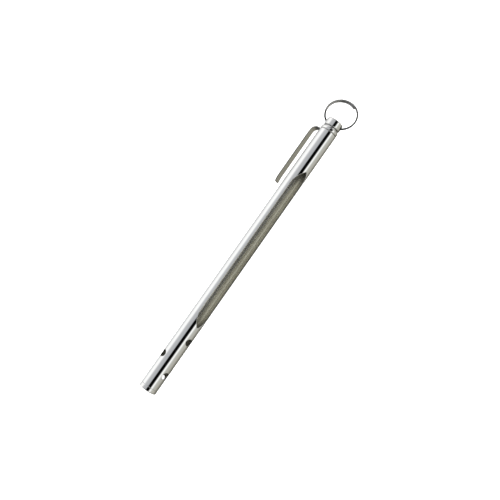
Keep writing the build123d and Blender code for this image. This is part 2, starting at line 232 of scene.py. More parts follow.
def fill(loops, extra, outer=None):
    """Triangles of a flat region: loops[0] is the outside and the rest are holes.
    outer is not used. extra are more points, kept off the loops."""
    verts, edges = [], []
    for lp in loops:
        s = len(verts)
        verts += [Vector((float(p[0]), float(p[1]))) for p in lp]
        edges += [(s + i, s + (i + 1) % len(lp)) for i in range(len(lp))]
    ex = np.asarray(extra, float)
    keep = inside(np.asarray(loops[0]), ex)
    for lp in loops[1:]:
        keep &= ~inside(np.asarray(lp), ex)
    lv = np.concatenate([np.asarray(lp) for lp in loops])
    ex = ex[keep]
    near = np.ones(len(ex), bool)
    for i in range(0, len(lv), 400):
        dd = ((ex[:, None, :] - lv[None, i : i + 400, :]) ** 2).sum(-1).min(1)
        near &= dd > 0.05**2
    ex = ex[near]
    verts += [Vector((float(p[0]), float(p[1]))) for p in ex]
    vo, _, fo, _, _, _ = delaunay_2d_cdt(verts, edges, [], 0, 1e-7)
    V = np.array([tuple(v) for v in vo])
    T = np.array([list(f) for f in fo])
    c = V[T].mean(1)
    ok = inside(np.asarray(loops[0]), c)
    for lp in loops[1:]:
        ok &= ~inside(np.asarray(lp), c)
    return V, T[ok]


def sweep_tube(b, C, radius, segs=28, mat=0, cap=0.12):
    """Round bar along centre points C, with chamfered flat ends."""
    C = np.asarray(C, float)
    T = np.gradient(C, axis=0)
    T /= np.linalg.norm(T, axis=1, keepdims=True)
    u = np.cross(T[0], [0.31, 0.9, 0.27])
    u /= np.linalg.norm(u)
    U = []
    for t in T:
        u = u - t * np.dot(u, t)
        u /= np.linalg.norm(u)
        U.append(u.copy())
    U = np.array(U)
    W = np.cross(T, U)
    a = np.linspace(0, 2 * math.pi, segs, endpoint=False)
    N = U[:, None] * np.cos(a)[None, :, None] + W[:, None] * np.sin(a)[None, :, None]
    P = C[:, None] + radius * N
    rows, nrm = [], []
    for end, s in ((0, -1), (-1, 1)):
        t = T[end] * s
        out = []
        for k in range(0, 5):
            w = math.radians(90 * k / 4)
            ring = C[end] + t * (cap * (math.sin(w) - 1)) + N[end] * (radius - cap + cap * math.cos(w))
            out.append((ring, N[end] * math.cos(w) + t * math.sin(w)))
        out.append((np.repeat((C[end])[None], segs, 0), np.repeat(t[None], segs, 0)))
        out[-1] = (out[-1][0], out[-1][1])
        rows.append(out)
    # shorten the body so that the caps end where the centreline does
    L = np.concatenate([[0], np.cumsum(np.linalg.norm(np.diff(C, axis=0), axis=1))])
    inner = (L > cap * 1.05) & (L < L[-1] - cap * 1.05)
    body_P = [rows[0][0][0]] + list(P[inner]) + [rows[1][0][0]]
    body_N = [rows[0][0][1]] + list(N[inner]) + [rows[1][0][1]]
    full_P = [r[0] for r in rows[0][::-1]] + body_P[1:-1] + [r[0] for r in rows[1]]
    full_N = [r[1] for r in rows[0][::-1]] + body_N[1:-1] + [r[1] for r in rows[1]]
    b.grid(np.array(full_P), np.array(full_N), mat, wrap_v=True)


# ---------------------------------------------------------------------------
# materials
# ---------------------------------------------------------------------------
class Nodes:
    def __init__(self, name):
        self.mat = bpy.data.materials.new(name)
        self.mat.use_nodes = True
        self.t = self.mat.node_tree
        self.t.nodes.clear()
        self.out = self.t.nodes.new("ShaderNodeOutputMaterial")
        self.bsdf = self.t.nodes.new("ShaderNodeBsdfPrincipled")
        self.t.links.new(self.bsdf.outputs[0], self.out.inputs[0])
        self.co = self.t.nodes.new("ShaderNodeTexCoord")

    def set(self, **kw):
        for k, v in kw.items():
            self.bsdf.inputs[k.replace("_", " ")].default_value = v

    def link(self, a, b):
        self.t.links.new(a, b)

    def new(self, kind, **kw):
        n = self.t.nodes.new(kind)
        for k, v in kw.items():
            setattr(n, k, v)
        return n

    def mapped(self, scale):
        m = self.new("ShaderNodeMapping")
        m.inputs["Scale"].default_value = scale
        self.link(self.co.outputs["Object"], m.inputs["Vector"])
        return m.outputs[0]

    def noise(self, scale, stretch=(1, 1, 1), detail=3.0, rough=0.5):
        n = self.new("ShaderNodeTexNoise")
        n.inputs["Scale"].default_value = scale
        n.inputs["Detail"].default_value = detail
        n.inputs["Roughness"].default_value = rough
        self.link(self.mapped(stretch), n.inputs["Vector"])
        return n.outputs["Fac"]

    def ramp(self, fac, stops):
        r = self.new("ShaderNodeValToRGB")
        while len(r.color_ramp.elements) < len(stops):
            r.color_ramp.elements.new(0.5)
        for e, (p, c) in zip(r.color_ramp.elements, stops):
            e.position = p
            e.color = c if len(c) == 4 else (*c, 1)
        self.link(fac, r.inputs["Fac"])
        return r.outputs["Color"]

    def span(self, fac, lo, hi):
        m = self.new("ShaderNodeMapRange")
        m.inputs["To Min"].default_value = lo
        m.inputs["To Max"].default_value = hi
        self.link(fac, m.inputs["Value"])
        return m.outputs["Result"]

    def bump(self, height, strength, distance, normal=None):
        b = self.new("ShaderNodeBump")
        b.inputs["Strength"].default_value = strength
        b.inputs["Distance"].default_value = distance
        self.link(height, b.inputs["Height"])
        if normal is not None:
            self.link(normal, b.inputs["Normal"])
        return b.outputs["Normal"]

    def math(self, op, a, b=None):
        m = self.new("ShaderNodeMath", operation=op)
        for i, v in enumerate((a, b)):
            if v is None:
                continue
            if isinstance(v, (int, float)):
                m.inputs[i].default_value = v
            else:
                self.link(v, m.inputs[i])
        return m.outputs[0]


def bright_plate(name, tint=(0.93, 0.935, 0.93), rough=(0.018, 0.05), wave=0.10, along=True):
    """Mirror-bright plate: polishing waviness, fine draw lines and faint handling marks."""
    n = Nodes(name)
    n.set(Metallic=1.0)
    stretch = (30, 700, 700) if along else (700, 60, 60)
    lines = n.noise(1.0, tuple(s for s in stretch), 4.0, 0.6)
    cloud = n.noise(90, (1, 1, 1), 3.0, 0.55)
    n.link(n.ramp(cloud, [(0.30, tuple(c * 0.975 for c in tint)), (0.70, tint)]), n.bsdf.inputs["Base Color"])
    mixed = n.math("MULTIPLY", lines, cloud)
    n.link(n.span(mixed, *rough), n.bsdf.inputs["Roughness"])
    broad = n.noise(55, (1, 2.2, 2.2), 2.0, 0.4)
    b1 = n.bump(broad, wave, 0.0004)
    b2 = n.bump(lines, 0.012, 0.00005, b1)
    n.link(b2, n.bsdf.inputs["Normal"])
    return n.mat


def satin_inside(name):
    """Unpolished inside of the drawn tube: satin, with draw lines along it."""
    n = Nodes(name)
    n.set(Metallic=0.86, Anisotropic=0.35)
    lines = n.noise(1.0, (18, 900, 900), 5.0, 0.65)
    cloud = n.noise(140, (0.5, 1, 1), 4.0, 0.6)
    n.link(n.ramp(cloud, [(0.25, (0.66, 0.65, 0.58)), (0.75, (0.76, 0.75, 0.68))]), n.bsdf.inputs["Base Color"])
    n.link(n.span(lines, 0.12, 0.26), n.bsdf.inputs["Roughness"])
    n.link(n.bump(lines, 0.07, 0.00006), n.bsdf.inputs["Normal"])
    return n.mat


def turned_brass(name, tint=(0.80, 0.62, 0.32)):
    n = Nodes(name)
    n.set(Metallic=1.0)
    rings = n.noise(1.0, (4200, 25, 25), 3.0, 0.5)
    cloud = n.noise(260, (1, 1, 1), 4.0, 0.6)
    n.link(n.ramp(cloud, [(0.3, tuple(c * 0.78 for c in tint)), (0.75, tint)]), n.bsdf.inputs["Base Color"])
    n.link(n.span(rings, 0.18, 0.36), n.bsdf.inputs["Roughness"])
    n.link(n.bump(rings, 0.25, 0.00004), n.bsdf.inputs["Normal"])
    return n.mat


def drawn_wire(name, tint=(0.60, 0.60, 0.585)):
    n = Nodes(name)
    n.set(Metallic=1.0)
    grain = n.noise(900, (1, 1, 1), 4.0, 0.6)
    n.link(n.ramp(grain, [(0.3, tuple(c * 0.8 for c in tint)), (0.7, tint)]), n.bsdf.inputs["Base Color"])
    n.link(n.span(grain, 0.14, 0.30), n.bsdf.inputs["Roughness"])
    n.link(n.bump(grain, 0.06, 0.00005), n.bsdf.inputs["Normal"])
    return n.mat


def spring_wire_ring(name):
    """Nickel-plated spring wire: a painted dark reflection where it runs single, a painted bright
    reflection where the two ends lie over each other, and painted shade towards the knob."""
    n = Nodes(name)
    n.set(Metallic=1.0)
    sep = n.new("ShaderNodeSeparateXYZ")
    n.link(n.co.outputs["Object"], sep.inputs[0])
    a = math.radians(42)
    cx = (ring_lo.x + ring_hi.x) / 2
    along = n.math("MULTIPLY", n.math("SUBTRACT", sep.outputs[0], cx), math.cos(a) / 0.0087)
    across = n.math("MULTIPLY", sep.outputs[1], math.sin(a) / 0.0087)
    # painted reflection: the lapped run, where the two ends lie over each other, is painted bright
    lap = n.new("ShaderNodeMapRange", interpolation_type="SMOOTHSTEP")
    n.link(n.math("ADD", along, across), lap.inputs["Value"])
    lap.inputs["From Min"].default_value = 0.20
    lap.inputs["From Max"].default_value = 0.62
    # painted shade: the wire is darkened towards the knob, down to 0.36 of its tone
    near = n.new("ShaderNodeMapRange", interpolation_type="SMOOTHSTEP")
    n.link(n.math("SUBTRACT", sep.outputs[0], cx), near.inputs["Value"])
    near.inputs["From Min"].default_value = -0.0052
    near.inputs["From Max"].default_value = -0.0012
    near.inputs["To Min"].default_value = 0.36
    grain = n.noise(700, (1, 1, 1), 3.0, 0.5)
    lap_sheen_and_grain = n.math("ADD", n.math("MULTIPLY", lap.outputs["Result"], 0.85), n.math("MULTIPLY", grain, 0.15))
    # painted reflections: a dark tone on the single run and a bright tone on the lapped run
    tone = n.ramp(lap_sheen_and_grain, [(0.0, (0.19, 0.19, 0.186)), (0.15, (0.23, 0.23, 0.226)), (1.0, (0.60, 0.60, 0.59))])
    dark = n.new("ShaderNodeVectorMath", operation="SCALE")
    n.link(tone, dark.inputs[0])
    n.link(near.outputs["Result"], dark.inputs["Scale"])
    n.link(dark.outputs[0], n.bsdf.inputs["Base Color"])
    n.link(n.span(grain, 0.10, 0.20), n.bsdf.inputs["Roughness"])
    n.link(n.bump(grain, 0.04, 0.00004), n.bsdf.inputs["Normal"])
    return n.mat


def sheared_edge(name):
    """Sheared edge of the clip: dull, and dark along the tongue as painted shade, with a painted highlight
    brightening it at the bend.
    """
    n = Nodes(name)
    n.set(Metallic=1.0)
    sep = n.new("ShaderNodeSeparateXYZ")
    n.link(n.co.outputs["Object"], sep.inputs[0])
    # painted highlight: the edge is painted brighter towards the bend
    bright = n.new("ShaderNodeMapRange", interpolation_type="SMOOTHSTEP")
    n.link(sep.outputs[0], bright.inputs["Value"])
    bright.inputs["From Min"].default_value = (TIP + 157.5) / 1000
    bright.inputs["From Max"].default_value = (TIP + 163.0) / 1000
    shear = n.noise(1.0, (700, 160, 160), 4.0, 0.6)
    tone = n.math("ADD", n.math("MULTIPLY", bright.outputs["Result"], 0.9), n.math("MULTIPLY", shear, 0.1))
    # painted shade in the dark tones along the tongue, painted highlight in the bright tone
    n.link(n.ramp(tone, [(0.0, (0.13, 0.128, 0.12)), (0.1, (0.17, 0.168, 0.16)), (1.0, (0.62, 0.615, 0.60))]), n.bsdf.inputs["Base Color"])
    n.link(n.span(shear, 0.20, 0.34), n.bsdf.inputs["Roughness"])
    n.link(n.bump(shear, 0.08, 0.00005), n.bsdf.inputs["Normal"])
    return n.mat


def black_rubber(name):
    n = Nodes(name)
    fine = n.noise(2600, (1, 1, 1), 4.0, 0.6)
    cloud = n.noise(420, (1, 1, 1), 3.0, 0.5)
    n.link(n.ramp(cloud, [(0.3, (0.022, 0.021, 0.020)), (0.7, (0.040, 0.038, 0.036))]), n.bsdf.inputs["Base Color"])
    n.link(n.span(cloud, 0.55, 0.75), n.bsdf.inputs["Roughness"])
    n.link(n.bump(fine, 0.25, 0.00006), n.bsdf.inputs["Normal"])
    return n.mat


M_TUBE = bright_plate("tube_plate", (0.94, 0.945, 0.94), (0.004, 0.022), 0.03, True)
M_CAP = bright_plate("cap_plate", (0.94, 0.94, 0.93), (0.006, 0.03), 0.03, False)
M_CLIP = bright_plate("clip_steel", (0.95, 0.945, 0.91), (0.16, 0.28), 0.05, True)
# the clip's edge material holds painted shade and a painted highlight
M_CLIP_EDGE = sheared_edge("clip_sheared_edge_painted_light")
# the ring's tone holds painted reflections and painted shade towards the knob
M_RING = spring_wire_ring("ring_steel")
M_BORE = satin_inside("tube_bore")
# the cut walls of the window and the holes get a dark tint: painted shade
M_CUT_SHADE = bright_plate("tube_cut_wall_painted_shade", (0.11, 0.107, 0.10), (0.18, 0.32), 0.12, True)
M_BRASS = turned_brass("bush_brass")
M_CUP = turned_brass("cup_brass", (0.77, 0.60, 0.33))
M_WIRE = drawn_wire("spring_steel")
M_RUBBER = black_rubber("pad_rubber")

# ---------------------------------------------------------------------------
# barrel
# ---------------------------------------------------------------------------
SEAM = 220.0


def outline_window(step=0.22):
    """The window's outline in its own plan: points and normals towards the metal."""
    L = X_WIN_TOP - X_WIN_LOW
    R = (WIN_TAPER**2 + WIN_HALF**2) / (2 * WIN_HALF)
    r = WIN_POINT_R
    # quarter outline from the point to the straight side, then mirrored
    cx, cy = WIN_TAPER, WIN_HALF - R           # centre of the upper side's arc
    # rounding circle on the centreline, inside the arc
    d = R - r
    x0 = cx - math.sqrt(d * d - cy * cy)
    ang_join = math.atan2(0 - cy, x0 - cx)     # direction from arc centre to rounding centre
    pts, nor = [], []
    a0, a1 = math.pi, ang_join
    k = 7
    for j in range(k):
        a = a0 + (a1 - a0) * j / k
        pts.append((x0 + r * math.cos(a), r * math.sin(a)))
        nor.append((math.cos(a), math.sin(a)))
    b0, b1 = ang_join, math.pi / 2
    k = int(abs(b1 - b0) * R / step) + 1
    for j in range(k + 1):
        a = b0 + (b1 - b0) * j / k
        pts.append((cx + R * math.cos(a), cy + R * math.sin(a)))
        nor.append((math.cos(a), math.sin(a)))
    half, halfn = list(pts), list(nor)
    k = int((L - 2 * WIN_TAPER) / 0.8)
    for j in range(1, k):
        half.append((WIN_TAPER + (L - 2 * WIN_TAPER) * j / k, WIN_HALF))
        halfn.append((0.0, 1.0))
    for p, q in zip(pts[::-1], nor[::-1]):
        half.append((L - p[0], p[1]))
        halfn.append((-q[0], q[1]))
    low = [(p[0], -p[1]) for p in half[::-1][1:-1]]
    lown = [(q[0], -q[1]) for q in halfn[::-1][1:-1]]
    P = np.array(half + low)
    N = np.array(halfn + lown)
    P[:, 0] += X_WIN_LOW
    return P, N


def outline_hole(x, k=72):
    a = np.linspace(0, 2 * math.pi, k, endpoint=False)
    n = np.stack([np.cos(a), np.sin(a)], -1)
    return np.array([x, 0.0]) + HOLE_R * n, n


def edge_strip(P, N, angle, r_out, r_in, round_out, round_in):
    """The cut's wall, from the outside of the tube to its bore, with both edges broken.
    Returns rows of points and normals; the first row is on the outside, the last in the bore."""
    a = math.radians(angle)
    ez = np.array([0, -math.sin(a), math.cos(a)])
    ey = np.array([0, math.cos(a), math.sin(a)])
    ex = np.array([1.0, 0, 0])
    f = -(N[:, 0:1] * ex + N[:, 1:2] * ey)          # into the opening

    def corner(R, sign, rad):
        y = P[:, 1]
        z = np.sqrt(R * R - y * y)
        S = P[:, 0:1] * ex + y[:, None] * ey + z[:, None] * ez
        er = (y[:, None] * ey + z[:, None] * ez) / R * sign
        T = np.cross(er, f)
        T /= np.linalg.norm(T, axis=1, keepdims=True)
        aa = np.cross(T, er)
        aa *= np.sign((aa * -f).sum(1))[:, None]
        bb = np.cross(f, T)
        bb *= -np.sign((bb * er).sum(1))[:, None]
        cosb = (aa * bb).sum(1)
        beta = np.arccos(np.clip(cosb, -1, 1))
        Lt = rad / np.tan(beta / 2)
        A, B = S + aa * Lt[:, None], S + bb * Lt[:, None]
        bis = aa + bb
        bis /= np.linalg.norm(bis, axis=1, keepdims=True)
        C = S + bis * (rad / np.sin(beta / 2))[:, None]
        # put the first ring exactly on the round surface
        An = A.copy()
        rr = np.hypot(A[:, 1], A[:, 2])
        An[:, 1:] *= (R / rr)[:, None]
        en = An.copy()
        en[:, 0] = 0
        en = en / R * sign
        return An, en, B, C, er

    A, En, B, C, er = corner(r_out, 1.0, round_out)
    rows, nors = [A], [En]
    n_arc = 5
    for k in range(1, n_arc + 1):
        t = k / n_arc
        v = (A - C) * (1 - t) + (B - C) * t
        v = v / np.linalg.norm(v, axis=1, keepdims=True)
        rows.append(C + v * round_out)
        nors.append(v if k < n_arc else f)
    A2, En2, B2, C2, er2 = corner(r_in, -1.0, round_in)
    rows.append(B2)
    nors.append(f)
    v = (A2 - C2) + (B2 - C2)
    v = v / np.linalg.norm(v, axis=1, keepdims=True)
    rows.append(C2 + v * round_in)
    nors.append(v)
    rows.append(A2)
    nors.append(En2)
    return rows, nors


def unroll(Q, R):
    """Points on a tube of radius R as (x, R times angle), the angle from the seam."""
    ang = np.degrees(np.arctan2(-Q[:, 1], Q[:, 2]))
    ang = (ang - SEAM) % 360.0 + SEAM
    return np.stack([Q[:, 0], np.radians(ang) * R], -1)


def skin(b, R, sign, loops, x0, x1, mat):
    """The tube's surface of radius R between x0 and x1, with the given openings."""
    cols = 120
    u0, u1 = math.radians(SEAM) * R, math.radians(SEAM + 360) * R
    us = np.linspace(u0, u1, cols + 1)
    nx = 110
    xs = np.linspace(x0, x1, nx + 1)
    border = (
        [(x, u0) for x in xs[:-1]]
        + [(x1, u) for u in us[:-1]]
        + [(x, u1) for x in xs[::-1][:-1]]
        + [(x0, u) for u in us[::-1][:-1]]
    )
    G = np.stack(np.meshgrid(xs[1:-1], us[1:-1], indexing="ij"), -1).reshape(-1, 2)
    extra = [G]
    for lp in loops:
        c = lp.mean(0)
        nxt, prv = np.roll(lp, -1, 0), np.roll(lp, 1, 0)
        t = nxt - prv
        t /= np.linalg.norm(t, axis=1, keepdims=True)
        nn = np.stack([t[:, 1], -t[:, 0]], -1)
        # outward, away from the opening
        probe = inside(lp, lp + nn * 0.01)
        nn[probe] *= -1
        for d, stride in ((0.16, 1), (0.42, 2)):
            ring = (lp + nn * d)[::stride]
            extra.append(ring)
    big = [np.array(border)] + list(loops)
    # keep grid points off the rings
    ring_pts = np.concatenate(extra[1:])
    far = np.ones(len(G), bool)
    for i in range(0, len(ring_pts), 400):
        dd = ((G[:, None, :] - ring_pts[None, i : i + 400, :]) ** 2).sum(-1).min(1)
        far &= dd > 0.10**2
    V, T = fill(big, np.concatenate([G[far], ring_pts]))
    th = np.degrees(V[:, 1] / R)
    d = vec(th)
    P = d * R
    P[:, 0] = V[:, 0]
    b.tris(P, d * sign, T, mat)


def make_barrel():
    b = Builder()
    outer_loops, inner_loops = [], []
    cuts = [(outline_window(), WIN_ANGLE, WIN_EDGE_R, 0.05)]
    cuts += [(outline_hole(x), a, 0.10, 0.05) for x, a in HOLES]
    for (P, N), ang, ro, ri in cuts:
        rows, nors = edge_strip(P, N, ang, TUBE_R, BORE_R, ro, ri)
        outer_loops.append(unroll(rows[0], TUBE_R))
        inner_loops.append(unroll(rows[-1], BORE_R))
        b.grid(np.array(rows[:6]), np.array(nors[:6]), 0, wrap_v=True)
        # the cut's wall and the bore's edge take the dark material, painted shade
        b.grid(np.array(rows[5:]), np.array(nors[5:]), 2, wrap_v=True)
    e_low, e_top = 0.17, 0.06
    skin(b, TUBE_R, 1.0, outer_loops, X_TUBE_LOW + e_low, X_TUBE_TOP - e_top, 0)
    skin(b, BORE_R, -1.0, inner_loops, X_TUBE_LOW + e_low, X_TUBE_TOP - e_top, 1)
    # both ends, with the edges broken; the columns match the skins
    th = np.linspace(SEAM, SEAM + 360, 121)
    d = vec(th)
    for x, s, e in ((X_TUBE_LOW, -1, e_low), (X_TUBE_TOP, 1, e_top)):
        prof, nor = [], []
        for k in range(5):
            w = math.radians(90 * k / 4)
            prof.append((x - s * e + s * e * math.sin(w), TUBE_R - e + e * math.cos(w)))
            nor.append((s * math.sin(w), math.cos(w)))
        for k in range(5):
            w = math.radians(90 - 90 * k / 4)
            prof.append((x - s * e + s * e * math.sin(w), BORE_R + e - e * math.cos(w)))
            nor.append((s * math.sin(w), -math.cos(w)))
        P = np.zeros((len(prof), len(th), 3))
        M = np.zeros_like(P)
        for i, ((px, pr), (qx, qr)) in enumerate(zip(prof, nor)):
            P[i] = d * pr
            P[i, :, 0] = px
            M[i] = d * qr
            M[i, :, 0] = qx
        b.grid(P, M, 0)
    return b.obj("barrel_tube", [M_TUBE, M_BORE, M_CUT_SHADE])


barrel = make_barrel()
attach(barrel, "case")
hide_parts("barrel")

# ---------------------------------------------------------------------------
# end cap and its pad
# ---------------------------------------------------------------------------
plug = lathe(
    "tip_end_cap",
    [(0, 0), (0, 4.9), (2.4, 4.9), (2.4, 4.25), (6.4, 4.25), (6.4, 3.45), (1.2, 3.45), (1.2, 0)],
    [0, 0.5, 0.22, 0.05, 0.3, 0.1, 0.25, 0],
    [M_CAP],
    closed=False,
)
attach(plug, "case")
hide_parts("tip_plug")

pad_pts = [(1.2, 0), (1.2, 3.4), (4.2, 3.4), (4.2, 2.4)]
ball = 3.507
for k in range(1, 9):
    r = 2.4 * (1 - k / 8)
    pad_pts.append((3.25 + ball - math.sqrt(ball * ball - r * r), r))
pad = lathe("tip_pad", pad_pts, [0, 0.15, 0.3, 0.15] + [0] * 8, [M_RUBBER], 96, closed=False)
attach(pad, "case")
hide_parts("tip_cushion")


# ---------------------------------------------------------------------------
# threads
# ---------------------------------------------------------------------------
def thread_rows(b, x0, x1, r_plain, depth, inside_thread, run0, run1, mat=0, cols=96):
    """A right-hand thread between x0 and x1. r_plain is the crest's radius; the groove
    goes depth into the metal. run0 and run1 are the lengths over which it starts and ends."""
    n = int((x1 - x0) / (PITCH / 14)) + 1
    xs = np.linspace(x0, x1, n)
    th = np.linspace(0, 360, cols, endpoint=False)
    X, TH = np.meshgrid(xs, th, indexing="ij")
    sgn = -1.0 if inside_thread else 1.0

    def radius(x, t):
        ph = (x / PITCH - t / 360.0) % 1.0
        tri = np.abs(ph - 0.5) * 2
        g = np.clip((tri - 0.10) / 0.72, 0, 1)
        g = g * g * (3 - 2 * g)
        amp = np.clip((x - x0) / max(run0, 1e-6), 0, 1) * np.clip((x1 - x) / max(run1, 1e-6), 0, 1)
        return r_plain - sgn * depth * g * amp

    h = 0.004
    Rr = radius(X, TH)
    rx = (radius(X + h, TH) - radius(X - h, TH)) / (2 * h)
    rt = (radius(X, TH + 0.2) - radius(X, TH - 0.2)) / math.radians(0.4)
    d = vec(TH)
    a = np.radians(TH)
    tan = np.stack([np.zeros_like(a), -np.cos(a), -np.sin(a)], -1)
    P = d * Rr[..., None]
    P[..., 0] = X
    N = d - tan * (rt / Rr)[..., None]
    N[..., 0] = -rx
    b.grid(P, N * sgn, mat, wrap_v=True)


def make_bush():
    b = Builder()
    x0, x1 = 156.1, 164.6
    P2, N2 = rounded([(x0 + 0.2, 3.5), (x0, 3.5), (x0, 4.25), (x1, 4.25), (x1, 3.5), (x1 - 0.2, 3.5)], [0, 0.1, 0.25, 0.05, 0.2, 0], False)
    spun(b, P2, N2, 96, 0, False)
    thread_rows(b, x0 + 0.2, x1 - 0.2, 3.5, 0.36, True, 0.5, 0.5)
    return b.obj("bush_threaded", [M_BRASS])


bush = make_bush()
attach(bush, "case")
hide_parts("threaded_bush")


def make_cap():
    b = Builder()
    x0 = 158.6
    # collar, web and bore; the side of the spigot is the thread
    neck = [(X_SHOULDER - 0.3, 3.45), (X_SHOULDER, 3.45), (X_SHOULDER, 4.87), (X_SHOULDER + 0.75, 4.87)]
    rad = [0, 0.06, 0.25, 0]
    # bead that tapers to the neck: an arc, tangent to the side
    ex, er = X_COLLAR_TOP - 0.12, 4.05
    dx, dr = ex - (X_SHOULDER + 0.75), 4.87 - er
    R = (dx * dx + dr * dr) / (2 * dr)
    for k in range(1, 9):
        t = dx * k / 8
        neck.append((X_SHOULDER + 0.75 + t, 4.87 - R + math.sqrt(R * R - t * t)))
        rad.append(0)
    pts = neck + [
        (X_COLLAR_TOP, 3.85),
        (X_COLLAR_TOP, 1.35),
        (163.9, 1.35),
        (163.9, 2.45),
        (x0 + 0.5, 2.45),
        (x0 + 0.5, 1.95),
        (x0, 1.95),
        (x0, 3.45),
        (x0 + 0.35, 3.45),
    ]
    rad += [0.08, 0.05, 0.05, 0.1, 0.05, 0.12, 0.12, 0.30, 0]
    P2, N2 = rounded(pts, rad, False)
    # smooth normals along the bead's arc
    for i, (p, q) in enumerate(zip(P2, N2)):
        if X_SHOULDER + 0.75 - 1e-6 <= p[0] <= ex + 1e-6 and p[1] > 4.04:
            t = p[0] - (X_SHOULDER + 0.75)
            N2[i] = np.array([t, math.sqrt(R * R - t * t)]) / R
    spun(b, P2, N2, 192, 0, False)
    thread_rows(b, x0 + 0.35, X_SHOULDER - 0.3, 3.45, 0.38, False, 0.5, 1.0, cols=192)
    return b.obj("cap_screwed", [M_CAP])


cap = make_cap()
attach(cap, "cap")
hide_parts("cap_body")


